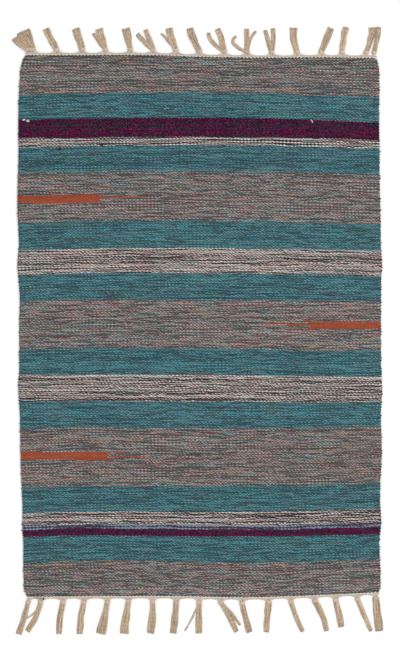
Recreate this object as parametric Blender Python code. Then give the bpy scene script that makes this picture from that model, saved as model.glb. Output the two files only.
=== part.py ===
"""A flat-woven kilim rug lying on a floor: one woven field, a twined heading cord along each end and a
knotted warp fringe beyond each heading.

Frame: X runs across the rug (along the weft), Y along it (along the warp) and Z up from the floor.
The origin is on the floor, under the middle of the whole rug with its fringes.
"""

import bmesh
import bpy
import numpy as np
from mathutils import Vector

MM = 0.001

# Driving sizes, in millimetres.
FIELD_THICKNESS = 5.0
FIELD_EDGE_ROUND = 1.3
HEADING_WIDTH = 3.4
HEADING_THICKNESS = 4.0
HEADING_EDGE_ROUND = 1.0
HEADING_INSET = 0.5
SPINE_WIDTH = 2.2
SPINE_THICKNESS = 2.6
SPINE_INSET = 2.0
PIECE_GAP = 0.3
KNOT_LENGTH = 7.0
KNOT_WIDTH = 8.0
KNOT_THICKNESS = 6.0
KNOT_STANDOFF = 4.6
KNOT_LEAN = 0.35
TASSEL_NECK_THICKNESS = 4.6
TASSEL_TIP_THICKNESS = 3.0
END_STATIONS = 25
TASSEL_STATIONS = 6

# The two long edges of the field, from the far end to the near end: at each Y, the X of either side.
SIDES = (
    # y, left_x, right_x
    (449.0, -295.5, 296.3),
    (435.0, -299.0, 298.8),
    (409.0, -300.6, 299.6),
    (356.0, -302.1, 299.8),
    (299.0, -302.3, 301.0),
    (233.0, -303.8, 301.3),
    (190.0, -303.4, 302.1),
    (145.0, -300.8, 302.1),
    (109.0, -303.6, 304.4),
    (52.0, -300.6, 302.1),
    (-15.0, -301.4, 302.0),
    (-56.0, -300.6, 302.2),
    (-95.0, -302.8, 304.4),
    (-140.0, -299.7, 302.2),
    (-202.0, -298.8, 303.6),
    (-248.0, -297.2, 301.6),
    (-290.0, -295.4, 301.0),
    (-321.0, -296.2, 302.2),
    (-350.0, -293.8, 299.8),
    (-398.0, -293.7, 301.2),
    (-427.0, -292.0, 299.8),
)

# The two short edges of the field, from left to right.
FAR_END = (
    # x, y
    (-290.0, 457.2),
    (-195.0, 457.0),
    (-100.0, 457.3),
    (-15.0, 455.8),
    (75.0, 454.3),
    (200.0, 453.4),
    (293.0, 451.6),
)
NEAR_END = (
    # x, y
    (-286.0, -442.4),
    (-160.0, -441.5),
    (-15.0, -441.7),
    (40.0, -443.1),
    (85.0, -443.3),
    (140.0, -441.8),
    (220.0, -438.8),
    (297.0, -434.9),
)

# Each tassel hangs from its knot at knot_x, is at mid_x half way out and ends at its tip. A tassel that
# splits has a row for each part, all with the same knot_x.
FAR_TASSELS = (
    # knot_x, mid_x, tip_x, tip_y, neck_width, tip_width
    (-280.0, -295.5, -307.0, 487.5, 8.0, 11.0),
    (-280.0, -289.0, -297.5, 496.5, 8.0, 12.0),
    (-280.0, -280.0, -287.5, 500.0, 8.0, 10.0),
    (-236.4, -246.8, -256.5, 502.5, 7.0, 8.0),
    (-194.9, -198.8, -205.5, 503.0, 8.0, 10.0),
    (-156.0, -170.3, -178.5, 495.5, 5.0, 5.0),
    (-156.0, -160.0, -165.5, 502.5, 8.0, 12.5),
    (-114.4, -117.2, -120.5, 503.5, 8.5, 16.5),
    (-75.6, -91.0, -103.0, 494.0, 6.0, 5.5),
    (-75.6, -81.0, -88.0, 502.0, 7.0, 7.5),
    (-37.0, -51.0, -60.0, 489.5, 4.5, 4.0),
    (-37.0, -44.8, -50.7, 503.5, 8.5, 11.0),
    (0.5, -9.3, -16.8, 503.5, 7.5, 9.0),
    (42.5, 21.5, 16.8, 494.0, 4.5, 5.0),
    (42.5, 37.5, 29.5, 502.5, 8.0, 8.5),
    (79.6, 58.5, 61.0, 490.0, 4.5, 5.0),
    (79.6, 78.9, 77.5, 501.5, 6.5, 6.5),
    (79.6, 84.2, 94.5, 496.0, 5.5, 5.5),
    (121.8, 114.9, 107.0, 501.0, 6.0, 6.0),
    (121.8, 125.6, 123.8, 504.0, 6.5, 6.5),
    (163.7, 158.7, 155.8, 504.5, 8.0, 10.5),
    (201.7, 207.8, 217.0, 504.0, 8.0, 9.5),
    (239.0, 239.3, 243.3, 505.5, 7.0, 9.0),
    (276.4, 281.5, 286.5, 504.5, 7.0, 7.5),
    (289.0, 292.8, 296.8, 505.0, 7.5, 8.0),
)
NEAR_TASSELS = (
    # knot_x, mid_x, tip_x, tip_y, neck_width, tip_width
    (-285.0, -293.5, -299.5, -504.5, 6.0, 8.5),
    (-263.3, -273.2, -286.5, -497.5, 6.0, 7.0),
    (-226.0, -231.5, -233.8, -503.5, 7.0, 6.5),
    (-190.7, -195.3, -197.8, -503.5, 7.0, 7.5),
    (-152.4, -157.5, -163.2, -503.5, 8.0, 14.0),
    (-117.1, -121.5, -124.8, -503.0, 7.5, 11.5),
    (-77.7, -78.5, -80.8, -502.5, 7.5, 11.5),
    (-37.6, -39.8, -42.5, -502.5, 7.5, 9.0),
    (0.0, -11.0, -25.0, -499.0, 2.5, 2.0),
    (0.0, -0.5, -0.5, -502.5, 8.0, 10.0),
    (35.3, 49.0, 60.2, -500.5, 6.0, 6.5),
    (70.6, 77.2, 83.8, -500.5, 7.0, 7.0),
    (116.9, 114.3, 112.0, -500.5, 8.0, 7.0),
    (151.5, 160.6, 171.5, -499.5, 7.0, 8.0),
    (190.7, 203.3, 211.5, -498.5, 8.0, 8.0),
    (226.6, 232.4, 237.8, -492.0, 7.0, 8.0),
    (261.2, 273.3, 285.4, -498.5, 7.0, 7.0),
    (295.0, 295.9, 299.4, -498.0, 9.0, 10.0),
)

# The section of a bundle of yarns, as shares of half its width and of its thickness.
BUNDLE_SECTION = (
    # side, up
    (-0.80, 0.0),
    (0.80, 0.0),
    (1.0, 0.38),
    (0.72, 0.82),
    (0.0, 1.0),
    (-0.72, 0.82),
    (-1.0, 0.38),
)

# A knot along its length, as shares of its length from the middle and of its full section.
KNOT_PROFILE = (
    # share, size
    (-0.5, 0.55),
    (-0.22, 0.95),
    (0.22, 0.95),
    (0.5, 0.55),
)

WOVEN_TEAL = (0.056, 0.137, 0.156)
TWINED_CREAM = (0.60, 0.49, 0.41)
FRINGE_COTTON = (0.45, 0.36, 0.27)


def clear_scene():
    for obj in list(bpy.data.objects):
        bpy.data.objects.remove(obj)


def new_collection(name):
    collection = bpy.data.collections.new(name)
    bpy.context.scene.collection.children.link(collection)
    return collection


def cloth_material(name, colour):
    material = bpy.data.materials.new(name)
    material.use_nodes = True
    shader = material.node_tree.nodes["Principled BSDF"]
    shader.inputs["Base Color"].default_value = (*colour, 1.0)
    shader.inputs["Roughness"].default_value = 0.95
    shader.inputs["Metallic"].default_value = 0.0
    return material


def smooth_step(share):
    return share * share * (3 - 2 * share)


def smooth_between(table, at):
    """The value at `at` on a smooth curve through the (place, value) rows, which run upwards."""
    places, values = np.array(table, float).T
    slopes = np.gradient(values, places)
    i = int(np.clip(np.searchsorted(places, at) - 1, 0, len(places) - 2))
    span = places[i + 1] - places[i]
    t = np.clip((at - places[i]) / span, 0.0, 1.0)
    start = (1 + 2 * t) * (1 - t) ** 2 * values[i] + t * (1 - t) ** 2 * span * slopes[i]
    end = t * t * (3 - 2 * t) * values[i + 1] + t * t * (t - 1) * span * slopes[i + 1]
    return start + end


def end_line(end, offset=0.0, inset=0.0):
    """Points along a short edge, moved outwards by offset and drawn in at both ends by inset."""
    outwards = 1.0 if end[0][1] > 0 else -1.0
    across = np.linspace(end[0][0] + inset, end[-1][0] - inset, END_STATIONS)
    return [(x, smooth_between(end, x) + outwards * offset) for x in across]


def add_to(collection, name, data, material):
    data.materials.append(material)
    obj = bpy.data.objects.new(name, data)
    collection.objects.link(obj)
    return obj


def flat_plate(collection, name, outline, thickness, edge_round, material):
    """A closed flat piece with rounded edges that lies on the floor inside this outline."""
    curve = bpy.data.curves.new(name, "CURVE")
    curve.dimensions = "2D"
    curve.fill_mode = "BOTH"
    curve.extrude = (thickness / 2 - edge_round) * MM
    curve.bevel_depth = edge_round * MM
    curve.bevel_resolution = 1
    curve.offset = -edge_round * MM
    spline = curve.splines.new("POLY")
    spline.points.add(len(outline) - 1)
    for point, (x, y) in zip(spline.points, outline):
        point.co = (x * MM, y * MM, 0.0, 1.0)
    spline.use_cyclic_u = True
    plate = add_to(collection, name, curve, material)
    plate.location.z = thickness / 2 * MM
    return plate


def woven_field(collection, material):
    left = [(left_x, y) for y, left_x, _ in SIDES]
    right = [(right_x, y) for y, _, right_x in reversed(SIDES)]
    outline = left + end_line(NEAR_END) + right + end_line(FAR_END)[::-1]
    return flat_plate(
        collection, "woven_field", outline, FIELD_THICKNESS, FIELD_EDGE_ROUND, material
    )


def strip_outline(end, near_side, far_side, inset):
    """The outline of a strip along a short edge, between two distances outwards from it."""
    return end_line(end, near_side, inset) + end_line(end, far_side, inset)[::-1]


def heading(collection, name, end, material):
    outline = strip_outline(end, PIECE_GAP, PIECE_GAP + HEADING_WIDTH, HEADING_INSET)
    return flat_plate(
        collection, name, outline, HEADING_THICKNESS, HEADING_EDGE_ROUND, material
    )


def bundle_ring(centre, along, width, thickness):
    """The section of a bundle of yarns that runs along this way: flat on the floor and domed above."""
    across = np.array((-along[1], along[0])) / np.linalg.norm(along)
    return [
        (*(np.array(centre) + side * width / 2 * across), up * thickness)
        for side, up in BUNDLE_SECTION
    ]


def loft(name, rings):
    """A closed mesh through rings of points, all with the same count, the first and last filled."""
    mesh = bmesh.new()
    loops = [[mesh.verts.new(Vector(point) * MM) for point in ring] for ring in rings]
    for ring, following in zip(loops, loops[1:]):
        for i in range(len(ring)):
            j = (i + 1) % len(ring)
            mesh.faces.new((ring[i], ring[j], following[j], following[i]))
    mesh.faces.new(loops[0][::-1])
    mesh.faces.new(loops[-1])
    bmesh.ops.recalc_face_normals(mesh, faces=mesh.faces)
    data = bpy.data.meshes.new(name)
    mesh.to_mesh(data)
    mesh.free()
    return data


def bundle(name, start, mid_x, tip, widths, thicknesses):
    """A bundle of yarns from start to tip that passes mid_x half way out."""
    start, tip = np.array(start, float), np.array(tip, float)
    mid = np.array((mid_x, (start[1] + tip[1]) / 2))
    shares = np.linspace(0.0, 1.0, TASSEL_STATIONS)
    path = np.array(
        [
            (1 - t) * (1 - 2 * t) * start + 4 * t * (1 - t) * mid + t * (2 * t - 1) * tip
            for t in shares
        ]
    )
    rings = []
    for share, place, along in zip(shares, path, np.gradient(path, axis=0)):
        width = widths[0] + (widths[1] - widths[0]) * smooth_step(share)
        thickness = thicknesses[0] + (thicknesses[1] - thicknesses[0]) * share
        rings.append(bundle_ring(place, along, width, thickness))
    return loft(name, rings)


def knot(name, place, direction):
    """The overhand knot that gathers a tassel: a rounded lump with a flat foot on the floor."""
    along = np.array(direction, float) / np.linalg.norm(direction)
    rings = [
        bundle_ring(
            np.array(place) + share * KNOT_LENGTH * along,
            along,
            KNOT_WIDTH * size,
            KNOT_THICKNESS * size,
        )
        for share, size in KNOT_PROFILE
    ]
    return loft(name, rings)


def fringe(collection, helpers, name, end, tassels, material):
    """One comb: the spine of gathered warp ends along the heading, and every knot and tassel on it."""
    outwards = 1.0 if end[0][1] > 0 else -1.0
    inner = 2 * PIECE_GAP + HEADING_WIDTH
    spine_line = strip_outline(end, inner, inner + SPINE_WIDTH, SPINE_INSET)
    half = len(spine_line) // 2
    rings = [
        [(*near, 0.0), (*far, 0.0), (*far, SPINE_THICKNESS), (*near, SPINE_THICKNESS)]
        for near, far in zip(spine_line[:half], spine_line[half:][::-1])
    ]
    comb = add_to(collection, name, loft(name, rings), material)
    bundles = bpy.data.collections.new(name + "_bundles")
    helpers.children.link(bundles)
    thicknesses = (TASSEL_NECK_THICKNESS, TASSEL_TIP_THICKNESS)
    for number, (knot_x, mid_x, tip_x, tip_y, neck_width, tip_width) in enumerate(tassels):
        knot_y = smooth_between(end, knot_x) + outwards * (inner + KNOT_STANDOFF)
        pieces = [
            bundle(
                f"{name}_bundle_{number}",
                (knot_x, knot_y),
                mid_x,
                (tip_x, tip_y),
                (neck_width, tip_width),
                thicknesses,
            )
        ]
        if number == 0 or tassels[number - 1][0] != knot_x:
            lean = (KNOT_LEAN * (tip_x - knot_x), tip_y - knot_y)
            pieces.append(knot(f"{name}_knot_{number}", (knot_x, knot_y), lean))
        for data in pieces:
            helper = add_to(bundles, data.name, data, material)
            helper.hide_render = True
            helper.display_type = "WIRE"
    join = comb.modifiers.new("join_bundles", "BOOLEAN")
    join.operation = "UNION"
    join.operand_type = "COLLECTION"
    join.collection = bundles
    join.solver = "EXACT"
    join.use_self = True
    return comb


def main():
    clear_scene()
    rug = new_collection("kilim_rug")
    helpers = new_collection("fringe_helpers")
    helpers.hide_render = True
    woven = cloth_material("woven_cotton", WOVEN_TEAL)
    twined = cloth_material("heading_cotton", TWINED_CREAM)
    cotton = cloth_material("fringe_cotton", FRINGE_COTTON)
    woven_field(rug, woven)
    heading(rug, "heading_far", FAR_END, twined)
    heading(rug, "heading_near", NEAR_END, twined)
    fringe(rug, helpers, "fringe_far", FAR_END, FAR_TASSELS, cotton)
    fringe(rug, helpers, "fringe_near", NEAR_END, NEAR_TASSELS, cotton)


main()
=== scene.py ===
"""A small flat-woven kilim rug with inlaid bars, twined headings and knotted fringes.

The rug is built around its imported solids. Sizes are in millimetres where a name ends in _MM and in metres
elsewhere. Places in the weave are counted in warps from the left selvedge and in picks from the far end.
"""

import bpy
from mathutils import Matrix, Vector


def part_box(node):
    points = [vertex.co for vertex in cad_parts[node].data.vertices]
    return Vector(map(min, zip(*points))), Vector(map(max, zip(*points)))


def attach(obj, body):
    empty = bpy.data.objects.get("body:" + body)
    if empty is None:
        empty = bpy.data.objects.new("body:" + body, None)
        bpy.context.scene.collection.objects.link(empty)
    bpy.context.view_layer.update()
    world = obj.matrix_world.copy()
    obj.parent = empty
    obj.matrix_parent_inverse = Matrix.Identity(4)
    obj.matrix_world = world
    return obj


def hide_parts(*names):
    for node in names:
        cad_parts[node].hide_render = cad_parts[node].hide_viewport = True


bl_info = {
    "name": "Kilim Rug",
    "version": (1, 0, 0),
    "blender": (4, 5, 0),
    "location": "View3D > Sidebar > Kilim Rug",
    "description": "Builds a striped kilim rug with twined headings and knotted fringes",
    "category": "Add Mesh",
}

import functools
import math

import bpy
import numpy as np
from bpy.props import FloatProperty, FloatVectorProperty, IntProperty, PointerProperty
from mathutils import Vector
from mathutils.bvhtree import BVHTree

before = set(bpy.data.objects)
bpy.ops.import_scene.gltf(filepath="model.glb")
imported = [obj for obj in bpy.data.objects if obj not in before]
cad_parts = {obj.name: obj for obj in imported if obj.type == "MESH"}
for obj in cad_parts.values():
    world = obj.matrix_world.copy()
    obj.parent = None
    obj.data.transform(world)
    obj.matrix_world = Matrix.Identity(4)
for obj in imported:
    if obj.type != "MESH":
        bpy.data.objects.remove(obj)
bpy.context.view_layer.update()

MM = 0.001
RUG_LOW, RUG_HIGH = (Vector(corner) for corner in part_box("woven_field"))

# The bands of the field from the far end to the near end. Each one's near edge lies at five heights, in
# millimetres along the rug, at the five places across it. The last band runs to the end of the field.
BAND_PLACES_MM = (-295.0, -150.0, 0.0, 150.0, 295.0)
BANDS = (
    # yarn, picks, heights
    ("taupe", 27, (391.5, 395.2, 396.2, 392.7, 388.2)),
    ("teal", 18, (349.6, 353.2, 353.6, 351.5, 345.8)),
    ("plum", 13, (320.4, 321.5, 322.3, 321.4, 316.0)),
    ("cream", 6, (304.2, 307.4, 308.6, 306.8, 302.1)),
    ("teal", 19, (262.2, 265.5, 266.2, 263.9, 259.5)),
    ("taupe", 35, (178.6, 182.8, 182.9, 180.8, 177.0)),
    ("teal", 20, (133.5, 137.4, 137.6, 135.7, 133.4)),
    ("cream", 18, (92.8, 96.5, 95.8, 94.4, 90.5)),
    ("teal", 19, (47.7, 52.4, 51.9, 50.6, 49.5)),
    ("taupe", 34, (-30.7, -28.3, -29.4, -32.5, -33.0)),
    ("teal", 19, (-72.8, -72.7, -73.1, -75.0, -75.8)),
    ("cream", 18, (-117.3, -116.3, -117.2, -118.2, -118.1)),
    ("teal", 19, (-163.1, -160.4, -161.3, -161.2, -160.5)),
    ("taupe", 41, (-259.0, -257.3, -257.2, -257.0, -252.7)),
    ("teal", 19, (-302.6, -299.5, -299.8, -298.6, -295.4)),
    ("cream", 9, (-323.9, -321.5, -323.1, -322.8, -318.3)),
    ("lavender", 3, (-331.3, -328.2, -330.0, -329.9, -324.7)),
    ("plum", 5, (-341.9, -339.3, -341.0, -340.2, -337.3)),
    ("teal", 19, (-384.5, -381.1, -383.2, -382.8, -377.7)),
    ("taupe", 24, None),
)
BAND_STARTS = np.cumsum([0] + [picks for _, picks, _ in BANDS])
PICKS = int(BAND_STARTS[-1])
WARPS = 202
ENDS = ("far", "near")
SIDES = ("left", "right")
OUTWARDS = {"left": -1.0, "right": 1.0, "near": -1.0, "far": 1.0}

# The inlaid orange bars: each box of beads, with its warps counted in from that side's selvedge.
INLAYS = (
    # side, first_pick, last_pick, from_warp, to_warp
    ("left", 99, 103, 0, 8),
    ("left", 99, 104, 9, 45),
    ("left", 99, 99, 46, 48),
    ("left", 104, 104, 46, 47),
    ("left", 101, 101, 47, 72),
    ("right", 189, 193, 0, 39),
    ("right", 188, 188, 40, 43),
    ("right", 194, 194, 38, 42),
    ("right", 191, 191, 40, 51),
    ("right", 190, 190, 52, 63),
    ("left", 281, 286, 0, 12),
    ("left", 282, 286, 13, 30),
    ("left", 282, 287, 31, 48),
    ("left", 282, 282, 49, 51),
    ("left", 282, 282, 54, 56),
    ("left", 287, 287, 49, 51),
    ("left", 285, 285, 51, 69),
)

# The locks of the fringes. Each hangs from its knot at knot_x, is at mid_x half way out and ends at its tip.
# A tassel that splits has a row for each lock, all with the same knot_x.
FAR_LOCKS = (
    # knot_x, mid_x, tip_x, tip_y, neck_width, tip_width
    (-286.0, -299.0, -307.5, 487.5, 8.0, 13.0),
    (-280.5, -290.5, -298.5, 497.0, 9.0, 14.0),
    (-275.5, -281.5, -287.5, 501.5, 8.0, 12.0),
    (-237.0, -246.8, -256.0, 502.5, 9.5, 11.5),
    (-194.5, -200.0, -206.5, 503.0, 11.0, 13.5),
    (-156.0, -167.5, -176.5, 495.5, 5.5, 6.0),
    (-156.0, -161.5, -167.0, 502.5, 8.5, 12.5),
    (-114.6, -118.8, -122.5, 503.5, 8.5, 14.5),
    (-76.5, -92.0, -103.0, 494.5, 7.0, 8.0),
    (-76.5, -83.0, -90.0, 501.0, 8.0, 8.0),
    (-38.5, -49.5, -64.0, 494.5, 4.5, 4.5),
    (-38.5, -45.5, -50.5, 503.5, 9.5, 12.0),
    (0.5, -9.3, -16.3, 503.5, 9.5, 12.5),
    (41.5, 22.0, 14.5, 496.0, 6.0, 6.5),
    (41.5, 37.0, 30.0, 502.5, 9.0, 9.5),
    (79.6, 57.5, 61.5, 490.0, 5.0, 5.0),
    (79.6, 78.7, 78.5, 502.5, 7.5, 8.0),
    (79.6, 83.0, 93.5, 499.0, 5.5, 5.0),
    (120.0, 115.0, 108.5, 500.0, 7.0, 7.0),
    (120.0, 122.8, 122.0, 503.5, 7.5, 7.0),
    (162.5, 157.2, 156.5, 504.5, 9.5, 13.0),
    (202.5, 210.5, 218.5, 504.0, 10.0, 12.0),
    (237.0, 239.3, 243.5, 505.5, 8.5, 10.5),
    (277.0, 284.5, 287.5, 505.0, 8.0, 11.0),
    (290.5, 295.0, 298.0, 505.5, 7.5, 8.5),
)
NEAR_LOCKS = (
    # knot_x, mid_x, tip_x, tip_y, neck_width, tip_width
    (-284.5, -292.0, -300.5, -504.5, 7.5, 10.0),
    (-263.8, -272.0, -286.5, -499.5, 8.5, 9.5),
    (-263.8, -270.5, -288.5, -478.5, 2.5, 2.0),
    (-226.5, -231.8, -234.0, -504.0, 9.5, 9.5),
    (-191.8, -197.0, -198.8, -503.8, 9.5, 11.0),
    (-152.8, -158.5, -164.0, -503.8, 8.5, 16.5),
    (-118.0, -122.3, -125.5, -503.5, 9.0, 15.0),
    (-77.8, -78.6, -81.5, -503.0, 9.0, 13.5),
    (-38.5, -41.0, -44.0, -503.0, 9.5, 12.0),
    (-0.5, -11.0, -25.0, -499.0, 2.0, 2.0),
    (-0.5, -1.0, -1.0, -503.0, 9.0, 11.5),
    (35.5, 49.5, 61.5, -500.5, 8.5, 8.5),
    (35.5, 54.0, 67.5, -489.5, 4.0, 4.5),
    (70.8, 76.3, 83.5, -501.0, 9.0, 10.5),
    (115.0, 113.0, 110.5, -501.0, 11.5, 9.0),
    (152.0, 160.5, 172.0, -500.0, 9.0, 7.5),
    (191.5, 204.5, 211.5, -499.0, 10.5, 8.5),
    (226.5, 231.5, 236.5, -492.5, 9.5, 11.0),
    (262.5, 273.5, 285.5, -499.0, 8.5, 7.0),
    (293.0, 296.0, 299.5, -499.0, 12.0, 13.5),
)

# The x of the field's left and right corners at each end, and how far each end rises over the flat solid's
# end, at places across it. All in millimetres.
CORNERS_MM = {"far": (-287.0, 294.5), "near": (-284.5, 298.0)}
CORNER_IN_MM = 5.5
END_RISES_MM = {
    "far": ((-250.0, -60.0, -15.0, 140.0, 170.0, 285.0), (1.2, 1.2, 0.1, 0.1, 1.0, 2.0)),
    "near": ((0.0,), (0.8,)),
}

# How far each selvedge lies inside the flat solid's side, at places along it, in millimetres.
SIDE_TRIMS_MM = {
    "left": (
        (-430, -414, -364, -315, -248, -190, -57, -16, 4, 64, 124, 165, 223, 283, 345, 422, 455),
        (-0.8, 0.0, 0.5, 1.2, 0.3, 0.7, 0.8, 1.4, 0.7, 1.7, 0.0, 0.5, 0.5, 1.3, 0.4, 0.8, 0.1),
    ),
    "right": (
        (-430, -405, -352, -315, -265, -215, -130, -50, 50, 85, 115, 165, 235, 300, 345, 425),
        (-1.2, -0.3, 1.1, 0.0, 0.9, 0.0, 0.6, 0.0, 0.2, 1.0, 0.4, 0.4, 1.4, 1.4, 1.2, 0.0),
    ),
}

# Bits of stray yarn caught on the face of the weave.
SLUBS = (
    # x, y, length, width, turn in degrees, colour name
    (-291.5, 350.5, 5.2, 3.4, 20.0, "cream_light"),
    (-285.0, 348.6, 5.6, 4.0, -15.0, "cream_light"),
    (186.6, 348.4, 6.4, 2.2, -56.0, "cream_light"),
    (-232.4, 301.8, 6.0, 4.4, 5.0, "cream_dark"),
    (-162.3, 308.6, 4.6, 4.2, -10.0, "cream_dark"),
    (-202.5, 150.2, 3.0, 1.8, 10.0, "taupe_light"),
    (-139.8, 64.6, 3.0, 1.4, 60.0, "taupe_light"),
    (-125.5, 63.0, 2.4, 1.2, 20.0, "taupe_light"),
    (-107.4, 65.2, 2.4, 1.8, 0.0, "teal_light"),
    (-58.1, 409.2, 3.0, 2.2, 0.0, "cream_dark"),
    (7.8, -348.6, 2.6, 1.8, 0.0, "cream_dark"),
    (-258.8, -444.5, 4.5, 2.6, 80.0, "teal_dark"),
    (-268.0, -443.2, 14.0, 1.1, -4.0, "teal_dark"),
    (-212.8, 59.4, 2.4, 1.6, 30.0, "taupe_light"),
)


def length_setting(name, description, millimetres):
    """A length that a user can change."""
    return FloatProperty(name=name, description=description, default=millimetres * MM, unit="LENGTH")


def colour_setting(name, description, default):
    """A colour that a user can change."""
    return FloatVectorProperty(name=name, description=description, default=default, subtype="COLOR")


class KilimSizes(bpy.types.PropertyGroup):
    """The sizes of the yarns."""

    crown: length_setting("Crown", "Height of the weave's face above the floor", 4.3)
    relief: length_setting("Relief", "How far each bead of weft stands above the hollows beside it", 0.55)
    unevenness: length_setting("Unevenness", "How far the face rises and falls over its waves", 0.5)
    weft_radius: length_setting("Weft radius", "Radius of the weft where it turns at the selvedges", 1.25)
    fringe_radius: length_setting("Fringe yarn radius", "Radius of one warp end in the fringe", 0.8)
    strands_per_mm: FloatProperty(
        name="Strands per millimetre",
        description="How many warp ends lie across each millimetre of a lock's width",
        default=1.3,
    )
    seed: IntProperty(
        name="Seed", description="Seed of everything that is uneven in the yarns", default=7
    )


class KilimColours(bpy.types.PropertyGroup):
    """The colours of the yarns: most bands are woven with a light and a dark one twisted together."""

    taupe_light: colour_setting("Taupe, light", "Pinkish beige yarn", (0.264, 0.224, 0.215))
    taupe_dark: colour_setting("Taupe, dark", "Slate brown yarn", (0.061, 0.058, 0.059))
    teal_light: colour_setting("Teal, light", "Teal yarn", (0.075, 0.195, 0.221))
    teal_dark: colour_setting("Teal, dark", "Slate yarn", (0.030, 0.057, 0.070))
    plum_light: colour_setting("Plum, light", "Slate yarn", (0.0215, 0.018, 0.029))
    plum_dark: colour_setting("Plum, dark", "Deep magenta yarn", (0.100, 0.0, 0.038))
    cream_light: colour_setting("Cream, light", "Undyed yarn", (0.468, 0.404, 0.379))
    cream_dark: colour_setting("Cream, dark", "Near-black yarn", (0.023, 0.019, 0.022))
    lavender_light: colour_setting("Lavender, light", "Blue yarn", (0.160, 0.195, 0.262))
    lavender_dark: colour_setting("Lavender, dark", "Aubergine yarn", (0.038, 0.027, 0.046))
    orange: colour_setting("Orange", "Yarn of the inlaid bars", (0.246, 0.058, 0.029))
    edge_pick: colour_setting("Edge pick", "First and last picks", (0.034, 0.090, 0.083))
    heading: colour_setting("Heading", "Twined cream cord", (0.62, 0.57, 0.50))
    binding: colour_setting("Binding", "Thin outer cord", (0.533, 0.422, 0.372))
    fringe: colour_setting("Fringe", "Unbleached warp cotton", (0.478, 0.363, 0.254))
    # Lighter than the fringe, though it is the same warp cotton: partly a pinker tint of the gathered ends,
    # partly a painted highlight on the knots.
    knots: colour_setting("Knots", "Gathered and knotted cotton", (0.56, 0.44, 0.34))
    floor: colour_setting("Floor", "Plain pale floor", (0.755, 0.755, 0.755))


# ---------------------------------------------------------------------------- shapes and meshes

WAVES = 9
WAVE_LENGTHS_MM = (60, 240)
MAP_MARGIN = 0.1
MAP_END = 0.02
CAP_LEAN = 0.015


def waves(x, y, seed):
    """A gentle unevenness between about -1 and 1, from a few crossing waves 60 to 240 mm long."""
    draw = np.random.default_rng(seed)
    total = np.zeros(np.broadcast(x, y).shape)
    for _ in range(WAVES):
        length = draw.uniform(*WAVE_LENGTHS_MM) * MM
        turn, start = draw.uniform(0, math.tau, 2)
        total += np.sin(math.tau / length * (x * math.cos(turn) + y * math.sin(turn)) + start)
    return total / math.sqrt(WAVES)


def cad_edge(node_name, axis):
    """A function that reads a flat solid's outline: the x of a side at a y, or the y of an end at an x."""
    tree = BVHTree.FromObject(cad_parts[node_name], bpy.context.evaluated_depsgraph_get())
    low, high = (Vector(corner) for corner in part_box(node_name))

    def edge(place, outwards):
        start, way = Vector((place, place, (low.z + high.z) / 2)), Vector((0, 0, 0))
        start[axis] = outwards
        way[axis] = -outwards
        return tree.ray_cast(start, way)[0][axis]

    return np.vectorize(edge)


side_x, end_y = cad_edge("woven_field", 0), cad_edge("woven_field", 1)


def end_line(x, end):
    """Y at which the field meets its heading, at this x in metres."""
    left, right = CORNERS_MM[end]
    inside = np.clip(x, (left + CORNER_IN_MM) * MM, (right - CORNER_IN_MM) * MM)
    return end_y(inside, OUTWARDS[end]) + np.interp(inside / MM, *END_RISES_MM[end]) * MM


def new_mesh(name, points, *face_blocks):
    """A mesh of these points, with each block an array of faces that have the same number of corners."""
    mesh = bpy.data.meshes.new(name)
    corners = np.concatenate([block.ravel() for block in face_blocks])
    counts = np.concatenate([np.full(len(block), block.shape[1]) for block in face_blocks])
    mesh.vertices.add(len(points))
    mesh.vertices.foreach_set("co", np.asarray(points, np.float32).ravel())
    mesh.loops.add(len(corners))
    mesh.loops.foreach_set("vertex_index", corners.astype(np.int32))
    mesh.polygons.add(len(counts))
    mesh.polygons.foreach_set("loop_start", (np.cumsum(counts) - counts).astype(np.int32))
    mesh.update(calc_edges=True)
    if mesh.validate():
        raise RuntimeError(f"{name}: the mesh had faults")
    mesh.shade_smooth()
    return mesh


def corner_points(mesh):
    """The number of the point at each face corner."""
    corner = np.empty(len(mesh.loops), np.int32)
    mesh.loops.foreach_get("vertex_index", corner)
    return corner


def write_corners(mesh, name, values):
    """Stores a vector for each face corner."""
    layer = mesh.attributes.new(name, "FLOAT_VECTOR", "CORNER")
    layer.data.foreach_set("vector", np.asarray(values, np.float32).ravel())


def write_bake_map(mesh, values):
    """The map that an export draws the piece's materials on."""
    layer = mesh.uv_layers.new(name="OFBake")
    layer.uv.foreach_set("vector", np.asarray(values, np.float32).ravel())


def add_piece(name, mesh, material):
    """Links a piece that lies with the rug."""
    mesh.materials.append(material)
    piece = bpy.data.objects.new(name, mesh)
    bpy.context.scene.collection.objects.link(piece)
    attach(piece, "root")
    return piece


def tube_frames(paths):
    """Two directions across each path at each of its points, turned as little as possible along it."""
    along = np.gradient(paths, axis=1)
    along /= np.linalg.norm(along, axis=2, keepdims=True)
    across = np.cross(along[:, 0], (0.0, 0.0, 1.0))
    flat = np.linalg.norm(across, axis=1) < 1e-3
    across[flat] = (1.0, 0.0, 0.0)
    firsts = []
    for step in range(paths.shape[1]):
        way = along[:, step]
        across = across - way * (across * way).sum(1, keepdims=True)
        across /= np.linalg.norm(across, axis=1, keepdims=True)
        firsts.append(across)
    first = np.stack(firsts, axis=1)
    return first, np.cross(along, first)


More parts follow.
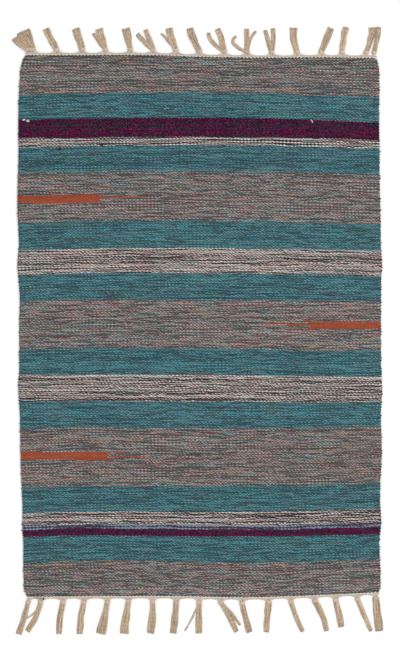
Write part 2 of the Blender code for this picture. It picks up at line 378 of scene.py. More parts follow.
def tubes(name, paths, radii, sides):
    """Round yarns along paths, an array of (yarn, point, xyz), closed at both ends.

    Each face corner holds its place along the yarn, its turn round it and the yarn's own random number.
    """
    count, points = paths.shape[:2]
    first, second = tube_frames(paths)
    turns = np.arange(sides) / sides
    ring = np.cos(math.tau * turns)[:, None] * first[:, :, None]
    ring = ring + np.sin(math.tau * turns)[:, None] * second[:, :, None]
    radii = np.broadcast_to(radii, (count, points))
    vertices = paths[:, :, None] + radii[:, :, None, None] * ring

    walls = np.meshgrid(np.arange(count), np.arange(points - 1), np.arange(sides), indexing="ij")
    yarn, step, side = (part.ravel() for part in walls)
    steps = np.stack([step, step, step + 1, step + 1], axis=1)
    corners = np.stack([side, side + 1, side + 1, side], axis=1)
    wall_faces = (yarn[:, None] * points + steps) * sides + corners % sides
    starts = np.arange(count)[:, None] * points * sides
    start_caps = starts + np.arange(sides)[::-1]
    end_caps = starts + (points - 1) * sides + np.arange(sides)
    mesh = new_mesh(name, vertices.reshape(-1, 3), wall_faces, start_caps, end_caps)

    # The same for every face corner: first those of the walls and then those of the two caps.
    cap_yarn, cap_turn = np.repeat(np.arange(count), sides), np.tile(turns, count)
    yarn = np.concatenate([np.repeat(yarn, 4), cap_yarn, cap_yarn])
    step = np.concatenate([steps.ravel(), 0 * cap_yarn, 0 * cap_yarn + points - 1])
    turn = np.concatenate([corners.ravel() / sides, cap_turn, cap_turn])
    lengths = np.linalg.norm(np.diff(paths, axis=1), axis=2).cumsum(axis=1)
    lengths = np.concatenate([np.zeros((count, 1)), lengths], axis=1)
    along = lengths[yarn, step]
    chance = np.random.default_rng(count).random(count)
    write_corners(mesh, "yarn", np.stack([along, turn, chance[yarn]], axis=1))
    cap_lean = np.concatenate([0.0 * corners.ravel(), -CAP_LEAN * cap_turn, CAP_LEAN * cap_turn])
    across_map = (yarn + MAP_MARGIN + (1 - 2 * MAP_MARGIN) * turn) / count
    up_map = MAP_END + (1 - 2 * MAP_END) * along / lengths.max() + cap_lean
    write_bake_map(mesh, np.stack([across_map, up_map], axis=1))
    return mesh


# ---------------------------------------------------------------------------- materials


class NodeBook:
    """A material whose nodes are written as sums of values and links."""

    def __init__(self, name):
        self.material = bpy.data.materials.new(name)
        self.material.use_nodes = True
        self.tree = self.material.node_tree
        self.shader = self.tree.nodes["Principled BSDF"]

    def node(self, kind, inputs=(), **settings):
        made = self.tree.nodes.new(kind)
        for name, value in settings.items():
            setattr(made, name, value)
        for place, value in dict(inputs).items():
            self.put(made.inputs[place], value)
        return made

    def put(self, socket, value):
        if isinstance(value, bpy.types.NodeSocket):
            self.tree.links.new(value, socket)
        elif socket.type == "RGBA" and len(value) == 3:
            socket.default_value = (*value, 1.0)
        else:
            socket.default_value = value

    def math(self, operation, *values):
        inputs = dict(enumerate(values))
        return self.node("ShaderNodeMath", inputs, operation=operation).outputs[0]

    def add(self, *values):
        return functools.reduce(functools.partial(self.math, "ADD"), values)

    def times(self, *values):
        return functools.reduce(functools.partial(self.math, "MULTIPLY"), values)

    def minus(self, first, second):
        return self.math("SUBTRACT", first, second)

    def off_half(self, value, *weights):
        """How far a value lies over a half, times these weights."""
        return self.times(self.minus(value, 0.5), *weights)

    def wave(self, value, rate):
        return self.math("COSINE", self.times(value, rate))

    def attribute(self, name):
        made = self.node("ShaderNodeAttribute", attribute_name=name)
        split = self.node("ShaderNodeSeparateXYZ", {0: made.outputs["Vector"]})
        return split.outputs[:]

    def vector(self, x, y=0.0, z=0.0):
        return self.node("ShaderNodeCombineXYZ", {0: x, 1: y, 2: z}).outputs[0]

    def chance(self, x, y=0.0):
        """A random number from 0 to 1 for each pair of whole numbers."""
        made = self.node(
            "ShaderNodeTexWhiteNoise", {"Vector": self.vector(x, y)}, noise_dimensions="2D"
        )
        return made.outputs["Value"]

    def noise(self, vector, detail=1.0):
        inputs = {"Vector": vector, "Scale": 1.0, "Detail": detail}
        return self.node("ShaderNodeTexNoise", inputs, noise_dimensions="3D").outputs["Fac"]

    def solid_noise(self, scale, detail):
        """Noise that fills the space which the piece is in."""
        place = self.node("ShaderNodeTexCoord").outputs["Object"]
        scaled = self.node("ShaderNodeVectorMath", {0: place, 3: scale}, operation="SCALE")
        return self.noise(scaled.outputs[0], detail)

    def smooth_range(self, value, low, high, to_low=0.0, to_high=1.0):
        inputs = {0: value, 1: low, 2: high, 3: to_low, 4: to_high}
        made = self.node("ShaderNodeMapRange", inputs, interpolation_type="SMOOTHSTEP")
        return made.outputs[0]

    def mix(self, factor, first, second, blend="MIX"):
        made = self.node("ShaderNodeMix", data_type="RGBA", blend_type=blend)
        for place, value in ((0, factor), (6, first), (7, second)):
            self.put(made.inputs[place], value)
        return made.outputs[2]

    def shaded(self, colour, tone):
        return self.mix(1.0, colour, self.vector(tone, tone, tone), "MULTIPLY")

    def choose(self, number, colours):
        """The colour in this place of the list, for a number half way between two whole ones."""
        made = self.node("ShaderNodeValToRGB", {0: self.times(number, 1.0 / len(colours))})
        ramp = made.color_ramp
        ramp.interpolation = "CONSTANT"
        ramp.elements.remove(ramp.elements[-1])
        for place, colour in enumerate(colours):
            stop = ramp.elements.new(place / len(colours)) if place else ramp.elements[0]
            stop.position = place / len(colours)
            stop.color = (*colour, 1.0)
        return made.outputs[0]

    def finish(self, colour, height, depth_mm):
        """Gives dull cotton this colour and a bump of this height, which is this deep where it is 1."""
        inputs = {"Height": height, "Distance": depth_mm * MM, "Strength": 1.0}
        bump = self.node("ShaderNodeBump", inputs)
        self.put(self.shader.inputs["Base Color"], colour)
        self.put(self.shader.inputs["Normal"], bump.outputs[0])
        for name, value in COTTON.items():
            self.shader.inputs[name].default_value = value
        return self.material


COTTON = {"Roughness": 0.95, "Sheen Weight": 0.015, "Sheen Roughness": 0.6, "Specular IOR Level": 0.03}
FLOOR_ROUGHNESS = 0.8
FLOOR_NOISE = (3.0, 2.0)
FLOOR_TONES = (0.985, 1.0)

# How each yarn is spun and woven, in four threes: how many strands of each colour lie round it, how uneven
# it is and how far its colours lean across a pick; how fast it turns over along a pick, how much of it is
# light and how softly one colour passes into the other; how deep its shading is, how far its two shuttles
# are out of step and how flecked it is; how unlike its neighbours each pick is, how much its hue changes
# and how dark the painted shade is in the gaps between its beads.
SPINS = {
    "taupe": ((2.0, 1.0, 0.36), (2.6, 0.46, 0.60), (1.0, 2.0, 0.7), (0.0, 1.0, 0.50)),
    "teal": ((2.0, 0.9, 0.36), (2.8, 0.49, 0.66), (1.0, 2.0, 0.7), (0.0, 0.9, 0.50)),
    "plum": ((2.0, 1.0, 0.36), (2.4, 0.54, 0.42), (1.5, 2.4, 4.8), (0.0, 0.65, 0.30)),
    "cream": ((1.0, 0.60, 0.42), (2.9, 0.46, 0.49), (1.0, 1.2, 0.8), (0.25, 0.55, 0.40)),
    "lavender": ((1.0, 0.6, 0.22), (1.8, 0.43, 0.60), (1.0, 1.2, 0.7), (0.0, 0.6, 0.30)),
}

# What the heather's colour is multiplied by where its hue changes.
WARM_TINT = (1.22, 0.94, 0.87)
COOL_TINT = (0.78, 1.07, 1.10)
ROSE_TINT = (1.06, 0.93, 1.04)
MOSS_TINT = (0.94, 1.06, 0.97)

# The noises in the weft: how fast each one changes with the warp, with the number of the pick and with the
# place across the picks, then its start and its detail.
WEFT_NOISES = {
    "flecks": (1.4, 9.7, 1.0, 4.0, 2.0),
    "run": (1 / 34, 13.37, 0.0, 0.5, 1.0),
    "patch": (0.03, 0.0, 0.15, 9.0, 2.0),
    "rib_patch": (0.035, 0.0, 0.07, 21.0, 1.0),
    "slow_hue": (0.085, 5.71, 0.0, 2.5, 2.0),
    "quick_hue": (0.9, 6.33, 0.0, 12.5, 1.0),
    "cast": (0.16, 3.33, 0.0, 7.5, 2.0),
    "rib": (0.8, 0.0, 0.012, 6.0, 1.0),
    "fibres": (2.0, 0.0, 9.0, 4.0, 3.0),
}
BEAD_WAVE = 0.20
BEAD_TWIST = -0.10
BEAD_SLIP = 0.28
HUE_RANGE = (0.36, 0.64)
CAST_RANGE = (0.32, 0.68)
INLAY_MARGIN = 0.4
# The next two: how much less painted shade the inlaid beads get, and how dark the painted shade is along the
# edges of each pick, between it and the next.
INLAY_PAINTED_SHADE_CUT = 0.65
EDGE_PAINTED_SHADE = 0.50
DARKEST = 0.05

# How far each of these turns a bead to its light colour, changes its hue and makes it paler.
LEANINGS = {"share": 3.0, "pick": 0.8, "patch": 1.1, "flecks": 3.3}
HUES = {"slow_hue": 0.72, "quick_hue": 0.28}
TONES = {"all": 0.645, "bead": 0.22, "pick": 0.18, "patch": 0.16, "rib": 0.24, "ribs": 0.5}

# The relief of a bead that is too fine for the mesh.
ROUND_BACK = 1.05
BEAD_SAG = 0.5
PLY_GROOVE = 0.12
FIBRE_RELIEF = 0.3
WEFT_RELIEF_MM = 0.6


def weft_material(colours):
    """Two-coloured weft packed over hidden warps, with the bands and the inlaid bars."""
    book = NodeBook("heathered_weft")
    u, v, _ = book.attribute("weave")

    # The pick that shows here: its edges swell over the warps that it passes and dip between them.
    nearest = book.math("ROUND", v)
    off_nearest = book.minus(v, nearest)
    swell = book.times(book.wave(book.add(u, nearest), math.pi), BEAD_WAVE)
    near_side = book.math("GREATER_THAN", book.minus(off_nearest, swell), 0.5)
    far_side = book.math("LESS_THAN", book.add(off_nearest, swell), -0.5)
    pick = book.minus(book.add(nearest, near_side), far_side)
    pair = book.math("ROUND", book.times(book.minus(u, pick), 0.5))
    warp = book.add(book.times(pair, 2.0), pick)
    beside = book.minus(u, warp)
    half_pick = book.add(0.5, book.times(book.wave(beside, math.pi), BEAD_WAVE))
    across = book.math("DIVIDE", book.minus(v, pick), half_pick)

    band = 0.5
    for start in BAND_STARTS[1:-1]:
        band = book.add(band, book.math("GREATER_THAN", pick, start - 0.5))
    yarns = [yarn for yarn, *_ in BANDS]
    light = book.choose(band, [getattr(colours, yarn + "_light") for yarn in yarns])
    dark = book.choose(band, [getattr(colours, yarn + "_dark") for yarn in yarns])
    spun = []
    for place in range(4):
        three = book.choose(band, [SPINS[yarn][place] for yarn in yarns])
        spun.extend(book.node("ShaderNodeSeparateColor", {0: three}).outputs[:3])
    strands, unevenness, lean, turns, share, softness = spun[:6]
    shading, out_of_step, flecked, unlike, hue_change, dip_painted_shade = spun[6:]

    def noise(name):
        by_warp, by_pick, by_place, start, detail = WEFT_NOISES[name]
        rows = [book.times(value, rate) for value, rate in ((pick, by_pick), (v, by_place)) if rate]
        return book.noise(book.vector(book.times(u, by_warp), book.add(*rows), start), detail)

    # Which of its two colours the twisted yarn shows: it turns over slowly along the pick, leans across each
    # bead and never turns quite evenly.
    flecks = book.minus(noise("flecks"), 0.5)
    bead_chance = book.chance(warp, pick)
    phase = book.add(
        book.times(noise("run"), turns, strands),
        book.times(book.chance(pick, 3.0), strands),
        book.times(across, lean),
        book.times(beside, BEAD_TWIST),
        book.off_half(bead_chance, BEAD_SLIP),
    )
    # Here and there two shuttles are a little out of step, so that every other pick is lighter and the
    # warps show as faint ribs.
    patch = noise("patch")
    ribs = book.off_half(noise("rib_patch"), book.wave(pick, math.pi))
    pick_chance, last_chance = book.chance(pick, 5.0), book.chance(book.add(pick, 1.0), 5.0)
    bias = book.add(
        book.off_half(share, LEANINGS["share"]),
        book.off_half(pick_chance, LEANINGS["pick"]),
        book.times(book.minus(pick_chance, last_chance), unlike),
        book.off_half(patch, unevenness, LEANINGS["patch"]),
        book.times(flecks, unevenness, LEANINGS["flecks"]),
        book.times(ribs, out_of_step),
    )
    turned = book.add(book.wave(phase, math.tau), bias)
    lightness = book.smooth_range(turned, book.times(softness, -1.0), softness)
    heather = book.mix(lightness, dark, light)
    hue = book.add(*[book.times(noise(name), weight) for name, weight in HUES.items()])
    tint = book.mix(book.smooth_range(hue, *HUE_RANGE), COOL_TINT, WARM_TINT)
    heather = book.mix(hue_change, heather, tint, "MULTIPLY")
    tint = book.mix(book.smooth_range(noise("cast"), *CAST_RANGE), MOSS_TINT, ROSE_TINT)
    heather = book.mix(hue_change, heather, tint, "MULTIPLY")

    inlaid = 0.0
    for side, first_pick, last_pick, from_warp, to_warp in INLAYS:
        middle_warp = (from_warp + to_warp) / 2
        if side == "right":
            middle_warp = WARPS - middle_warp
        spans = (
            (warp, middle_warp, to_warp - from_warp),
            (pick, (first_pick + last_pick) / 2, last_pick - first_pick),
        )
        outside = [
            book.minus(book.math("ABSOLUTE", book.minus(place, middle)), span / 2 + INLAY_MARGIN)
            for place, middle, span in spans
        ]
        inside = book.math("LESS_THAN", book.math("MAXIMUM", *outside), 0.0)
        inlaid = book.math("MAXIMUM", inside, inlaid)
    colour = book.mix(inlaid, heather, tuple(colours.orange))

    tone = book.add(
        TONES["all"],
        book.times(bead_chance, TONES["bead"]),
        book.times(book.chance(pick, 8.0), TONES["pick"]),
        book.times(patch, TONES["patch"]),
        book.times(noise("rib"), TONES["rib"]),
        book.times(flecks, flecked),
        book.times(ribs, TONES["ribs"]),
    )
    # Painted shade: the colour is darkened along the edges of each pick and in the dips between its beads,
    # less on the inlaid bars.
    edge = book.times(across, across)
    dip = book.times(beside, beside)
    painted_gap_shade = book.add(book.times(edge, edge, EDGE_PAINTED_SHADE), book.times(dip, dip_painted_shade))
    painted_gap_darkening = book.minus(1.0, book.times(painted_gap_shade, book.minus(1.0, book.times(inlaid, INLAY_PAINTED_SHADE_CUT))))
    shade = book.math("POWER", book.math("MAXIMUM", book.times(tone, painted_gap_darkening), DARKEST), shading)
    colour = book.shaded(colour, shade)

    round_back = book.math("SQRT", book.math("MAXIMUM", book.minus(ROUND_BACK, edge), 0.0))
    bead = book.times(round_back, book.minus(1.0, book.times(dip, BEAD_SAG)))
    ply = book.wave(book.add(book.times(across, 0.5), book.times(beside, 0.5)), 2 * math.tau)
    fibres = book.times(noise("fibres"), FIBRE_RELIEF)
    height = book.add(bead, book.times(ply, PLY_GROOVE), fibres)
    return book.finish(colour, height, WEFT_RELIEF_MM)


# The noises in the other yarns: how fast each one changes along the yarn, from yarn to yarn and round it,
# then its detail.
STREAK_NOISE = (60.0, 91.0, 2.0, 2.0)
FIBRE_NOISE = (900.0, 37.0, 9.0, 3.0)
STREAK_SHARE = 0.7
YARN_SHARE = 0.6
# How much the grooves between the plies darken the colour, as painted shade, and how deep they are in
# relief.
YARN_GROOVE_SHADE_AND_RELIEF = {"tone": 0.06, "height": 0.5}
YARN_FIBRES = 0.10
YARN_RELIEF_MM = 0.25
SLUB_RELIEF_MM = 0.2


def yarn_material(name, colour, plies, pitch_mm, streaks):
    """Twisted cotton: grooves between the plies with painted shade in them, fuzz, and streaks of darker
    cotton along the yarn.
    """
    book = NodeBook(name)
    along, turn, which = book.attribute("yarn")
    twist = book.add(book.times(turn, float(plies)), book.times(along, 1 / (pitch_mm * MM)))
    groove = book.wave(twist, math.tau)

    def noise(by_length, by_yarn, by_turn, detail):
        place = (book.times(along, by_length), book.times(which, by_yarn), book.times(turn, by_turn))
        return book.noise(book.vector(*place), detail)

    streak, fibres = noise(*STREAK_NOISE), noise(*FIBRE_NOISE)
    # The tone is darker in the grooves between the plies and lighter on their crests: painted shade and
    # painted light.
    tone = book.add(
        1.0 - streaks,
        book.times(book.smooth_range(streak, 0.35, 0.65), streaks * STREAK_SHARE),
        book.times(which, streaks * YARN_SHARE),
        book.times(groove, YARN_GROOVE_SHADE_AND_RELIEF["tone"]),
        book.times(fibres, YARN_FIBRES),
    )
    height = book.add(book.times(groove, YARN_GROOVE_SHADE_AND_RELIEF["height"]), fibres)
    return book.finish(book.shaded(colour, tone), height, YARN_RELIEF_MM)


def slub_material():
    """Loose fluff in the colours of the yarns that it came from."""
    book = NodeBook("slub_cotton")
    tint = book.node("ShaderNodeAttribute", attribute_name="tint").outputs["Color"]
    return book.finish(tint, book.solid_noise(FIBRE_NOISE[0], FIBRE_NOISE[-1]), SLUB_RELIEF_MM)


def floor_material(colour):
    """A plain pale floor, very slightly uneven in tone."""
    book = NodeBook("pale_floor")
    tone = book.smooth_range(book.solid_noise(*FLOOR_NOISE), 0.2, 0.8, *FLOOR_TONES)
    book.put(book.shader.inputs["Base Color"], book.shaded(colour, tone))
    book.shader.inputs["Roughness"].default_value = FLOOR_ROUGHNESS
    return book.material


# ---------------------------------------------------------------------------- the woven field

SELVEDGE_INSET_MM = 1.3
RIM_MIDDLE_MM = 2.2
RIM_FOOT_MM = 0.7
RIM_OUT_MM = np.array((0.35, 1.04))
RIM_REACH = 0.7
RIM_RELIEF = 0.4
FACE_EDGE_MM = 3.3
FACE_END_MM = 3.8
CORNER_REACH_MM = 14.0
CORNER_SHORT_MM = 2.0
CORNER_WARPS = 15.0
BACK_MM = 0.25
PICK_WANDER_MM = 0.25
WARP_WANDER_MM = 0.45
WARP_WAVES = (3.0, 0.6)
WANDER_STARTS = 10.0
BEATEN_MM = 0.20
BEATEN_PLACES = 14
PICK_RISE_MM = 0.1
WANDER_SEEDS = {"warps": 8, "picks": 9, "beaten": 10}
BEAD_HEIGHTS = (0.5, 1.5)
EDGE_SAMPLES = 61
EDGE_SAMPLES_IN_MM = 12
BAND_REACH = 1.02


def band_edges(x):
    """Y of every band edge at this x, from the far end to the near end, in metres."""
    edges = [end_line(x, "far")]
    span = BAND_PLACES_MM[-1]
    across = np.clip(x / MM / span, -BAND_REACH, BAND_REACH)
    for _, _, heights in BANDS[:-1]:
        curve = np.polyfit(np.array(BAND_PLACES_MM) / span, heights, len(heights) - 1)
        edges.append(np.polyval(curve, across) * MM)
    edges.append(end_line(x, "near"))
    return np.array(edges)


def side_line(y, side, short_mm):
    """X of a side of the field at this y, which stops this far short of the corners."""
    corner_x = RUG_HIGH.x if side == "right" else RUG_LOW.x
    near, far = float(end_line(corner_x, "near")), float(end_line(corner_x, "far"))
    x = side_x(np.clip(y, near + short_mm * MM, far - short_mm * MM), OUTWARDS[side])
    return x - OUTWARDS[side] * np.interp(y / MM, *SIDE_TRIMS_MM[side]) * MM


def weave_place(u, v):
    """Where this place in the weave lies in plan: two arrays, x and y, for arrays of warps and picks."""
    inwards = EDGE_SAMPLES_IN_MM * MM
    edge_x = np.linspace(RUG_LOW.x + inwards, RUG_HIGH.x - inwards, EDGE_SAMPLES)
    edges = band_edges(edge_x)
    by_pick = np.array([np.interp(np.arange(PICKS + 1), BAND_STARTS, column) for column in edges.T])
    rows = np.clip(v + 0.5, 0, PICKS)
    low = np.floor(rows).astype(int)
    high = np.minimum(low + 1, PICKS)

    pick_rows = np.arange(PICKS + 1)
    body_x, pulled_x = [], []
    for side, band_ys in zip(SIDES, (edges[:, 0], edges[:, -1])):
        ys = np.interp(pick_rows, BAND_STARTS, band_ys)
        body = side_line(ys, side, CORNER_REACH_MM)
        corner = side_line(ys, side, CORNER_SHORT_MM)
        body_x.append(np.interp(rows, pick_rows, body) - OUTWARDS[side] * SELVEDGE_INSET_MM * MM)
        pulled_x.append(np.interp(rows, pick_rows, corner - body))
    x = body_x[0] + (body_x[1] - body_x[0]) * u / WARPS
    # The outer warps draw in round the corners.
    for pulled, warps_in in zip(pulled_x, (u, WARPS - u)):
        x = x + pulled * np.clip(1 - warps_in / CORNER_WARPS, 0, 1) ** 2

    place = np.clip((x - edge_x[0]) / (edge_x[1] - edge_x[0]), 0, len(edge_x) - 1.001)
    left = place.astype(int)
    part = place - left
    on_low = by_pick[left, low] * (1 - part) + by_pick[left + 1, low] * part
    on_high = by_pick[left, high] * (1 - part) + by_pick[left + 1, high] * part
    y = on_low + (on_high - on_low) * (rows - low)

    # Warps and picks wander a little, but not along the edges, and no two picks are beaten in alike.
    inside_u = np.clip(np.minimum(u, WARPS - u) / WANDER_STARTS, 0, 1)
    inside_v = np.clip(np.minimum(v, PICKS - 1 - v) / WANDER_STARTS, 0, 1)
    across = np.clip(u / WARPS, 0, 1) * (BEATEN_PLACES - 1)
    place = np.minimum(across.astype(int), BEATEN_PLACES - 2)
    row = np.clip(np.rint(v), 0, PICKS - 1).astype(int)
    draw = np.random.default_rng(WANDER_SEEDS["beaten"])
    beaten = draw.normal(0.0, BEATEN_MM * MM, (PICKS, BEATEN_PLACES))
    y = y + beaten[row, place] + (beaten[row, place + 1] - beaten[row, place]) * (across - place)
    bends = waves(WARP_WAVES[0] * x, WARP_WAVES[1] * y, WANDER_SEEDS["warps"])
    warp_off = WARP_WANDER_MM * MM * bends * inside_u
    pick_off = PICK_WANDER_MM * MM * waves(x, y, WANDER_SEEDS["picks"]) * inside_v
    return x + warp_off, y + pick_off


def round_the_edge(grid):
    """The outermost places of a grid, once round."""
    return np.concatenate([grid[:-1, 0], grid[-1, :-1], grid[:0:-1, -1], grid[0, :0:-1]])


def field_mesh(sizes):
    """The whole weave as one closed cloth.

    The face has a low pyramid for each bead of weft, the back is plainer, and a rim joins them.
    """
    columns, rows = np.meshgrid(np.arange(WARPS + 1), np.arange(PICKS), indexing="xy")
    x, y = weave_place(columns.astype(float), rows.astype(float))
    draw = np.random.default_rng(sizes.seed)
    bead = np.where((columns + rows) % 2 == 0, 0.5, -0.5) * sizes.relief
    z = sizes.crown + bead * draw.uniform(*BEAD_HEIGHTS, bead.shape)
    z = z + sizes.unevenness * waves(x, y, sizes.seed + 3)
    z = z + PICK_RISE_MM * MM * draw.standard_normal((PICKS, 1))
    border = (columns == 0) | (columns == WARPS) | (rows == 0) | (rows == PICKS - 1)
    z[border] = FACE_EDGE_MM * MM + RIM_RELIEF * bead[border]
    z[::PICKS - 1, 1:-1] = FACE_END_MM * MM + RIM_RELIEF * bead[::PICKS - 1, 1:-1]
    face = np.stack([x, y, z], axis=2).reshape(-1, 3)
    number = np.arange(face.shape[0]).reshape(PICKS, WARPS + 1)

    far_left, far_right = number[:-1, :-1], number[:-1, 1:]
    near_left, near_right = number[1:, :-1], number[1:, 1:]
    even = ((columns + rows) % 2 == 0)[:-1, :-1, None]
    halves = (
        ((far_left, near_left, far_right), (far_left, near_right, far_right)),
        ((far_right, near_left, near_right), (far_left, near_left, near_right)),
    )
    upper, lower = (
        np.where(even, np.stack(if_even, axis=2), np.stack(if_odd, axis=2)).reshape(-1, 3)
        for if_even, if_odd in halves
    )

    back = np.stack([x, y, np.full(x.shape, BACK_MM * MM)], axis=2)[::2, ::2].copy()
    for edge in (back[0], back[-1], back[:, 0], back[:, -1]):
        edge[:, 2] = RIM_FOOT_MM * MM
    back_number = len(face) + np.arange(back.shape[0] * back.shape[1]).reshape(back.shape[:2])
    far_row, near_row = back_number[:-1], back_number[1:]
    back_corners = (far_row[:, :-1], far_row[:, 1:], near_row[:, 1:], near_row[:, :-1])
    back_faces = np.stack(back_corners, axis=2).reshape(-1, 4)

    face_ring, back_ring = round_the_edge(number), round_the_edge(back_number)
    columns_ring, rows_ring = round_the_edge(columns[::2, ::2]), round_the_edge(rows[::2, ::2])
    sideways = 1.0 * (columns_ring == WARPS) - (columns_ring == 0)
    endways = 1.0 * (rows_ring == 0) - (rows_ring == PICKS - 1)
    outwards = np.stack([sideways, endways], axis=1)
    middle = back.reshape(-1, 3)[back_ring - len(face)].copy()
    middle[:, :2] += outwards * RIM_OUT_MM * MM
    middle[:, 2] = RIM_MIDDLE_MM * MM
    middle_ring = len(face) + back.size // 3 + np.arange(len(middle))
    starts, between, ends = face_ring[::2], face_ring[1::2], np.roll(face_ring, -2)[::2]
    next_middle, next_back = np.roll(middle_ring, -1), np.roll(back_ring, -1)
    rim = (
        (starts, middle_ring, between),
        (between, next_middle, ends),
        (between, middle_ring, next_middle),
    )
    rim_faces = np.concatenate([np.stack(corners, axis=1) for corners in rim])
    foot_faces = np.stack([middle_ring, back_ring, next_back, next_middle], axis=1)

    points = np.concatenate([face, back.reshape(-1, 3), middle])
    triangles = np.concatenate([upper, lower, rim_faces])
    mesh = new_mesh("woven_field", points, triangles, back_faces, foot_faces)
    weave = np.stack([columns, rows], axis=2).astype(float)
    weave_middle = np.stack([columns_ring, rows_ring], axis=1).astype(float)
    weave_middle += outwards * (1.0, -1.0) * RIM_REACH
    weave = np.concatenate([weave.reshape(-1, 2), weave[::2, ::2].reshape(-1, 2), weave_middle])
    weave = weave[corner_points(mesh)]
    write_corners(mesh, "weave", np.column_stack([weave, np.zeros(len(weave))]))
    write_bake_map(mesh, (weave + 1.0) / (WARPS + 2.0, PICKS + 2.0))
    return mesh


class KILIM_OT_weave_field(bpy.types.Operator):
    """Weave the field of the rug, with its bands and inlaid bars"""

    bl_idname = "kilim.weave_field"
    bl_label = "Weave the Field"

    def execute(self, context):
        sizes, colours = context.scene.kilim_sizes, context.scene.kilim_colours
        weave = add_piece("weave", field_mesh(sizes), weft_material(colours))
        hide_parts("woven_field")
        return {"FINISHED"}


TURN_POINTS = 9
TURN_SIDES = 8
TURN_REACH_MM = {"left": 0.0, "right": 0.3}
TURN_TUCK_MM = 1.6
TURN_HIGH_MM = 3.2
TURN_FALL_MM = 1.1
TURN_UNEVEN_MM = {"reach": 0.35, "height": 0.15}
TURN_SPREADS = (0.85, 1.25)
TURN_THIN = 0.2
TURN_BEAD = 0.8
TURN_PICK = 0.32
LOOSE_TURNS = 0.12
LOOSE_TURN_MM = 0.9


def selvedge_mesh(side, sizes, draw):
    """A half loop of weft for every two picks, from one pick round the last warp to the next."""
    outwards = OUTWARDS[side]
    first_picks = np.arange(1 if side == "right" else 2, PICKS - 2, 2)
    count = len(first_picks)
    share = np.linspace(0.0, 1.0, TURN_POINTS)
    edge = np.full(count, WARPS if side == "right" else 0.0)
    x0, y0 = weave_place(edge, first_picks.astype(float))
    _, y1 = weave_place(edge, first_picks + 1.0)
    reach = (TURN_REACH_MM[side] + draw.normal(0.0, TURN_UNEVEN_MM["reach"], count)) * MM
    reach[draw.random(count) < LOOSE_TURNS] += LOOSE_TURN_MM * MM
    swing = np.sin(math.pi * share)
    x = x0[:, None] + outwards * (reach[:, None] * swing - TURN_TUCK_MM * MM * (1 - swing))
    half = ((y0 - y1) / 2 * draw.uniform(*TURN_SPREADS, count))[:, None]
    y = ((y0 + y1) / 2)[:, None] + half * np.cos(math.pi * share)
    z = (TURN_HIGH_MM - TURN_FALL_MM * share[None]) * MM
    z = z + draw.normal(0.0, TURN_UNEVEN_MM["height"], (count, 1)) * MM
    paths = np.stack([x, y, np.broadcast_to(z, x.shape)], axis=2)
    radii = sizes.weft_radius * (1 - TURN_THIN + TURN_THIN * swing)
    radii[[0, -1]] *= 0.5
    mesh = tubes(f"selvedge_{side}", paths, radii[None], TURN_SIDES)

    # The first half of each loop belongs to one pick and the second half to the next.
    centre = np.where((first_picks + int(edge[0])) % 2 == 0, edge, edge - outwards)
    steps = TURN_POINTS - 1
    late = np.arange(count * steps * TURN_SIDES) // TURN_SIDES % steps >= steps // 2
    on_start_caps = np.zeros(count * TURN_SIDES, bool)
    late = np.concatenate([np.repeat(late, 4), on_start_caps, ~on_start_caps])
    corner = corner_points(mesh)
    loop = corner // (TURN_POINTS * TURN_SIDES)
    run = share[corner // TURN_SIDES % TURN_POINTS]
    bead = np.where(late, 2 * edge[0] - outwards - centre[loop], centre[loop])
    u = bead + TURN_BEAD * outwards * (1 - np.abs(2 * run - 1))
    turn = math.tau * (corner % TURN_SIDES) / TURN_SIDES
    v = first_picks[loop] + late + TURN_PICK * np.cos(turn)
    write_corners(mesh, "weave", np.stack([u, v, np.zeros(len(u))], axis=1))
    return mesh


class KILIM_OT_turn_selvedges(bpy.types.Operator):
    """Turn the weft round the outer warps at both selvedges"""

    bl_idname = "kilim.turn_selvedges"
    bl_label = "Turn the Selvedges"

    def execute(self, context):
        sizes = context.scene.kilim_sizes
        weft = bpy.data.materials["heathered_weft"]
        draw = np.random.default_rng(sizes.seed + 11)
        for side in SIDES:
            mesh = selvedge_mesh(side, sizes, draw)
            add_piece(f"selvedge_{side}", mesh, weft)
        return {"FINISHED"}


# ---------------------------------------------------------------------------- headings and fringes

# The cords of a heading, from the field outwards. Each is two yarns twined round each other.
CORDS = (
    # name, distance out, height, how far each yarn swings, radius, pitch, colour name
    ("twine", 0.45, 2.6, 0.60, 0.85, 6.2, "heading"),
    ("binding", 2.75, 2.2, 0.40, 0.65, 5.1, "binding"),
)
TWINE_STEPS = 8
TWINE_SIDES = 8
EDGE_PITCH_MM = 6.0
EDGE_BEAD_MM = (4.4, 0.95, 3.6)
EDGE_DROP_MM = 1.5
EDGE_TAPER = 0.35
EDGE_IN_MM = {"far": 0.45, "near": 0.9}
EDGE_FROM_CORNERS_MM = (3.5, 2.5)
EDGE_UNEVEN_MM = {"along": 0.2, "across": 0.12}

# How the other yarns are spun: their plies, the pitch of the twist in millimetres and how streaky they are.
CORD_SPIN = (2, 4.0, 0.15)
EDGE_SPIN = (2, 4.0, 0.5)
FRINGE_SPIN = (3, 7.0, 0.45)
KNOT_SPIN = (3, 7.0, 0.3)


def cord_mesh(name, end, out, height, swing, radius, pitch):
    """Two yarns twined round each other along an end of the field. All sizes are in millimetres."""
    low, high = CORNERS_MM[end]
    x = np.linspace(low, high, int((high - low) / pitch * TWINE_STEPS)) * MM
    base = end_line(x, end) + OUTWARDS[end] * out * MM
    turn = math.tau * (x / MM - low) / pitch
    paths = []
    for start in (0.0, math.pi):
        y = base + swing * MM * np.cos(turn + start)
        z = (height + swing * np.sin(turn + start)) * MM
        paths.append(np.stack([x, y, z], axis=1))
    return tubes(name, np.array(paths), radius * MM, TWINE_SIDES)


